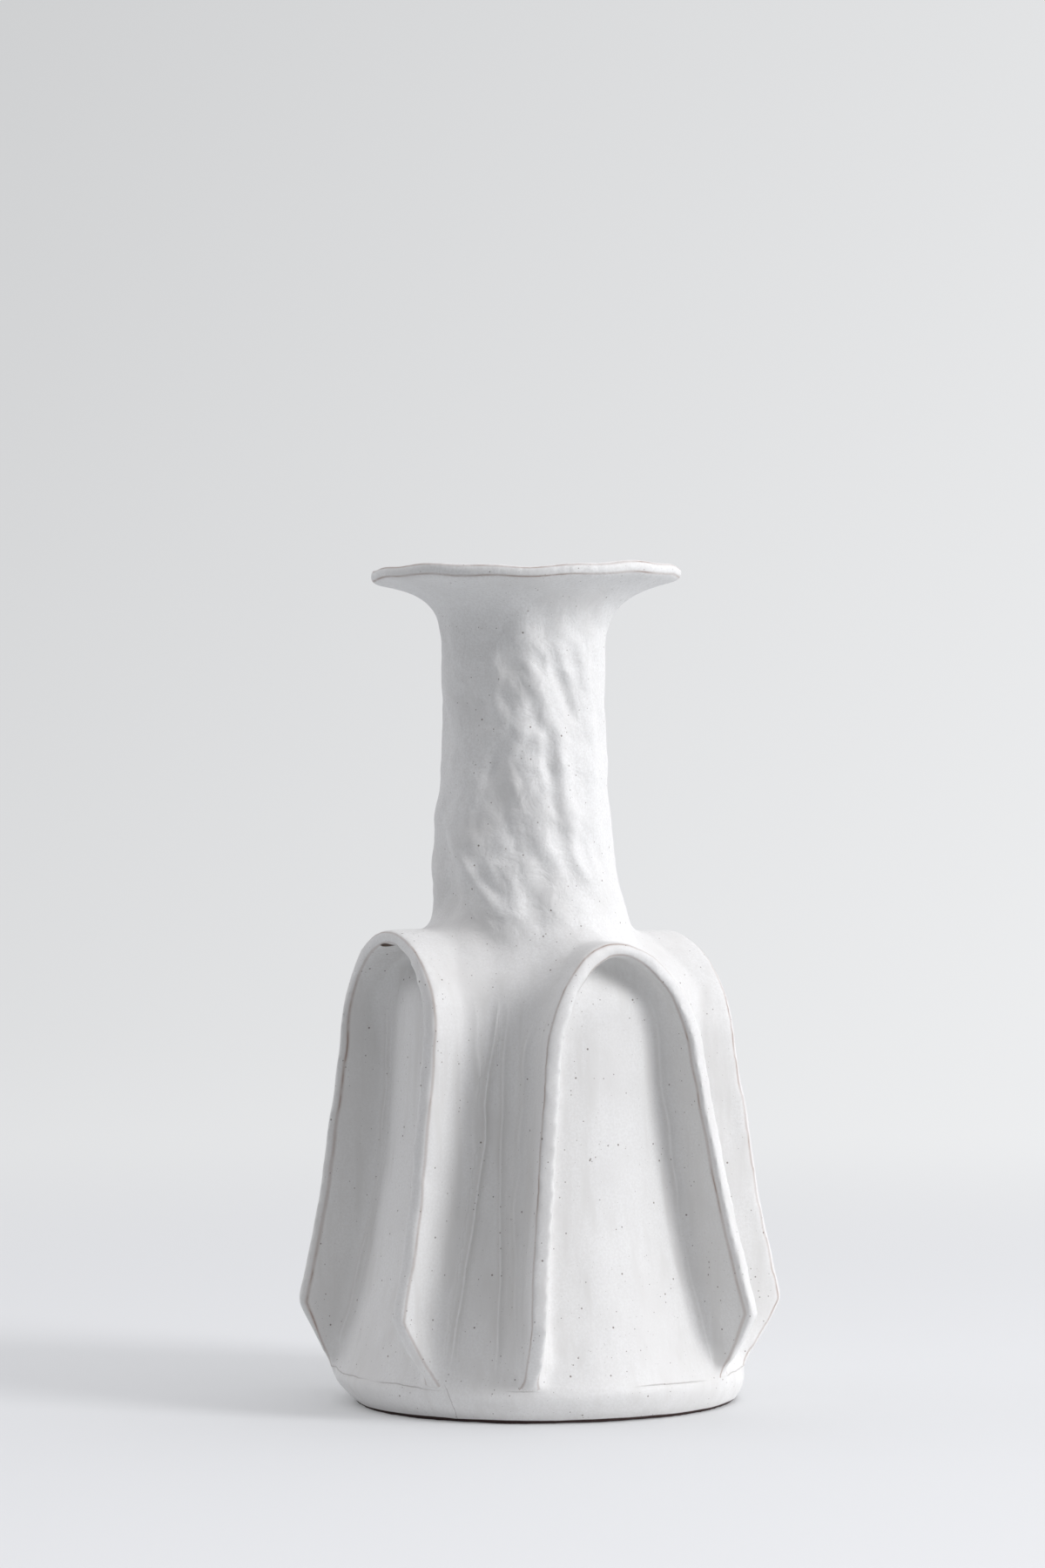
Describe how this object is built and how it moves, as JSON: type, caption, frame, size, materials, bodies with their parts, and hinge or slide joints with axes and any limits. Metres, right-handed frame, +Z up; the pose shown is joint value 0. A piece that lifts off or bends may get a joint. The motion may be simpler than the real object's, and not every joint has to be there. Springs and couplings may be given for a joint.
{
  "type": "stoneware vase",
  "caption": "Hand-built stoneware vase with a leaning neck, a flared lip and arched slab strips standing out round a full body.",
  "frame": {"origin": "centre of the flat underside of the foot", "axes": "+Z up through the neck and lip, -Y the way that the front arch faces, +X the way that the right arch faces"},
  "size_m": [0.2101, 0.2108, 0.3995],
  "materials": {
    "glaze": "satin white glaze over iron stoneware",
    "bare_clay": "unglazed dark iron stoneware"
  },
  "bodies": {
    "root": {"floor_slab": "bare_clay", "base_wall": "glaze", "floor_coil": "glaze", "body_wall": "glaze", "shoulder_wall": "glaze", "neck_wall": "glaze", "lip_flange": "glaze", "arch_front": "glaze", "arch_front_outer_coil": "glaze", "arch_front_inner_coil": "glaze", "arch_right": "glaze", "arch_right_outer_coil": "glaze", "arch_right_inner_coil": "glaze", "arch_back": "glaze", "arch_back_outer_coil": "glaze", "arch_back_inner_coil": "glaze", "arch_left": "glaze", "arch_left_outer_coil": "glaze", "arch_left_inner_coil": "glaze"}
  },
  "joints": []
}
